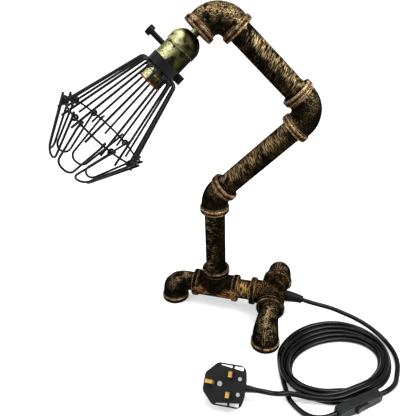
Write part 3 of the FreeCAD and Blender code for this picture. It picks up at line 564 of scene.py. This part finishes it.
def web_point(web, row, column, face):
    """A point of a web's inner (-1) or outer (1) face: its turn, radius and height."""
    across = 2 * column / WEB_COLUMNS - 1
    reach = WEB_SHORT + (WEB_LONG - WEB_SHORT) * abs(across) ** WEB_CURVE
    (radius, height), (outward, down) = along_path(WEB_PATH, reach * row / WEB_ROWS)
    a, b, c, d = LUMP_WAVES
    lump = 1 + LUMPS * math.sin(a * web + b * row) * math.cos(c * column + d * web)
    thick = face * WEB_THICK / 2 * lump
    turn = math.radians(WEB_HALF * (1 + across) + web * 360 / WIRES)
    return turn, radius + down * thick, height - outward * thick


def web_rim():
    """The rows and columns round the edge of a web, in order."""
    return ([(i, 0) for i in range(WEB_ROWS + 1)]
            + [(WEB_ROWS, j) for j in range(1, WEB_COLUMNS + 1)]
            + [(i, WEB_COLUMNS) for i in range(WEB_ROWS - 1, -1, -1)]
            + [(0, j) for j in range(WEB_COLUMNS - 1, 0, -1)])


def make_webs():
    """Eight lumpy webs of weld between the tops of the wires."""
    zero = holder_from + holder_axis * (sleeve_end - SLEEVE_END * MM)
    across = Vector(hinges["petal_1"]["pos_m"]) - zero
    radial = (across - holder_axis * across.dot(holder_axis)).normalized()
    mesh = bmesh.new()

    def vertex(*which):
        turn, radius, height = web_point(*which)
        spot = (Matrix.Rotation(turn, 3, holder_axis) @ radial) * radius + holder_axis * height
        return mesh.verts.new(zero + spot * MM)

    def side(web, face):
        rows = [[vertex(web, i, j, face) for j in range(WEB_COLUMNS + 1)] for i in range(WEB_ROWS + 1)]
        for i in range(WEB_ROWS):
            for j in range(WEB_COLUMNS):
                quad = [rows[i][j], rows[i][j + 1], rows[i + 1][j + 1], rows[i + 1][j]]
                mesh.faces.new(quad[::face])
        return rows
    rim = web_rim()
    for web in range(WIRES):
        inner, outer = side(web, -1), side(web, 1)
        for (i, j), (m, n) in zip(rim, rim[1:] + rim[:1]):
            mesh.faces.new([inner[i][j], inner[m][n], outer[m][n], outer[i][j]])
    bmesh.ops.recalc_face_normals(mesh, faces=mesh.faces)
    data = bpy.data.meshes.new("cage_webs")
    mesh.to_mesh(data)
    mesh.free()
    for face in data.polygons:
        face.use_smooth = True
    webs = put_in_scene("cage_webs", data)
    smooth = webs.modifiers.new("smooth", "SUBSURF")
    smooth.levels = smooth.render_levels = 1
    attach(webs, "cage")
    return webs


# ================================================================ plain materials
ROUGHNESS_LOW, ROUGHNESS_HIGH = 0.8, 1.2         # times a material's roughness, by its grain


def plain(name, colour, roughness, scale, vary=0.35, metallic=0.0, specular=0.5, strength=0.1):
    """A moulded or painted surface: a little mottle, roughness that varies, and a fine bump."""
    material, tree, shader = new_material(name, Roughness=roughness, Metallic=metallic,
                                          Specular_IOR_Level=specular)
    grain = noise(tree, local_place(tree), scale)
    darker = tuple(c * (1 - vary) for c in colour[:3]) + (1.0,)
    tree.links.new(mixed(tree, grain, darker, colour), shader.inputs["Base Color"])
    varied = between(tree, grain, roughness * ROUGHNESS_LOW, roughness * ROUGHNESS_HIGH)
    tree.links.new(varied, shader.inputs["Roughness"])
    bump(tree, shader, grain, strength, distance=0.0002)
    return material


def nodes_named(*starts):
    """The CAD nodes whose names start so."""
    return [name for name in frame["nodes"] if name.startswith(starts)]


wire_black = plain("wire_black", srgb(14, 14, 15), 0.32, scale=900, vary=0.4, specular=0.10)
weld_black = plain("weld_black", srgb(15, 15, 16), 0.36, scale=420, vary=0.5, specular=0.12, strength=1.0)
for material, dressed in (
        (wire_black, nodes_named("cage_", "petal_", "clamp_")),
        (weld_black, ["cage_collar", make_webs()]),
        (plain("bare_brass", srgb(206, 166, 84), 0.3, scale=300, vary=0.25, metallic=0.9),
         ["centre_contact", "plug_earth_pin", "plug_line_pins", "inline_contact", "key_spindle"]),
        (plain("zinc_steel", srgb(190, 190, 192), 0.3, scale=400, vary=0.2, metallic=0.9),
         ["nipple_nut", "plug_screws", "inline_screws"]),
        (plain("knob_black", srgb(8, 8, 9), 0.30, scale=300, vary=0.3, specular=0.06), ["turn_key"]),
        (plain("moulded_black", srgb(22, 23, 24), 0.42, scale=900, specular=0.14, strength=0.3),
         ["plug_plate", "plug_cover", "plug_pin_sleeves", "plug_grip", "inline_case_back",
          "inline_case_front", "inline_rocker"]),
        (plain("strain_rubber", srgb(12, 12, 12), 0.42, scale=700, specular=0.08, strength=0.2),
         ["strain_relief"]),
        (plain("flex_black", srgb(3, 3, 5), 0.12, scale=400, vary=0.3, specular=0.15, strength=0.03),
         [flex] + nodes_named("flex_")),
        (plain("phenolic", srgb(60, 42, 30), 0.4, scale=300, vary=0.4), ["switch_block"]),
        (plain("liner_fibre", srgb(60, 58, 52), 0.8, scale=900, vary=0.3), ["holder_liner"]),
        (plain("fuse_ceramic", srgb(225, 220, 205), 0.5, scale=400, vary=0.1), ["plug_fuse"])):
    for piece in dressed:
        dress(piece, material)

# ================================================================ stage and light
FLOOR_HALF, FLOOR_DROP = 6.0, 0.0004             # half its side, and how far it lies under the feet
FLOOR_WHITE = (0.86, 0.86, 0.86, 1)
WHITE = (1, 1, 1, 1)
GLOW_NEAR, GLOW_FAR = (0.45, 0.42), (1.6, 0.75)  # distance from the middle, and strength of the glow there
WORLD_LIGHT, WORLD_SEEN = 0.42, 1.0


def seen_directly(tree):
    """1 for rays of the camera, gloss and glass, 0 for those that light the object."""
    rays = add(tree, "LightPath").outputs
    seen = calc(tree, "MAXIMUM", rays["Is Camera Ray"], rays["Is Glossy Ray"])
    return calc(tree, "MAXIMUM", seen, rays["Is Transmission Ray"])


def make_floor():
    """A white sheet that keeps its soft shadows."""
    mesh = bpy.data.meshes.new("floor")
    s = FLOOR_HALF
    mesh.from_pydata([(-s, -s, 0), (s, -s, 0), (s, s, 0), (-s, s, 0)], [], [(0, 1, 2, 3)])
    floor = put_in_scene("floor", mesh)
    floor.location.z = -FLOOR_DROP
    material = bpy.data.materials.new("floor_white")
    material.use_nodes = True
    tree = material.node_tree
    tree.nodes.clear()
    diffuse = add(tree, "BsdfDiffuse", {"Color": FLOOR_WHITE}).outputs[0]
    distance = add(tree, "VectorMath", {0: object_place(tree)}, operation="LENGTH").outputs["Value"]
    (near, low), (far, high) = GLOW_NEAR, GLOW_FAR
    strength = add(tree, "MapRange", {"Value": distance, "From Min": near, "From Max": far, "To Min": low,
                                      "To Max": high}).outputs[0]
    glow = add(tree, "Emission", {"Color": WHITE, "Strength": times(tree, seen_directly(tree), strength)})
    both = add(tree, "AddShader", {0: diffuse, 1: glow.outputs[0]}).outputs[0]
    add(tree, "OutputMaterial", {"Surface": both})
    mesh.materials.append(material)


def make_world():
    """A white room that looks brighter than it shines."""
    world = bpy.data.worlds.new("studio")
    bpy.context.scene.world = world
    world.use_nodes = True
    tree = world.node_tree
    tree.nodes.clear()
    dim, white = [add(tree, "Background", {"Color": WHITE, "Strength": strength}).outputs[0]
                  for strength in (WORLD_LIGHT, WORLD_SEEN)]
    mix = add(tree, "MixShader", {0: seen_directly(tree), 1: dim, 2: white}).outputs[0]
    add(tree, "OutputWorld", {"Surface": mix})


def area_light(name, place, target, size, power):
    data = bpy.data.lights.new(name, "AREA")
    data.shape = "RECTANGLE"
    data.size, data.size_y = size
    data.energy = power
    light = put_in_scene(name, data)
    light.location = place
    light.rotation_euler = (Vector(target) - Vector(place)).to_track_quat("-Z", "Y").to_euler()


make_floor()
make_world()
MIDDLE = (0.06, 0.0, 0.2)
area_light("key", place=(0.75, -0.15, 1.05), target=MIDDLE, size=(0.5, 0.8), power=14)
area_light("fill", place=(-0.9, -0.7, 0.9), target=MIDDLE, size=(0.9, 0.9), power=8)
area_light("top", place=(0.05, 0.15, 1.5), target=MIDDLE, size=(0.9, 0.9), power=12)

bpy.context.scene.view_settings.view_transform = "Standard"
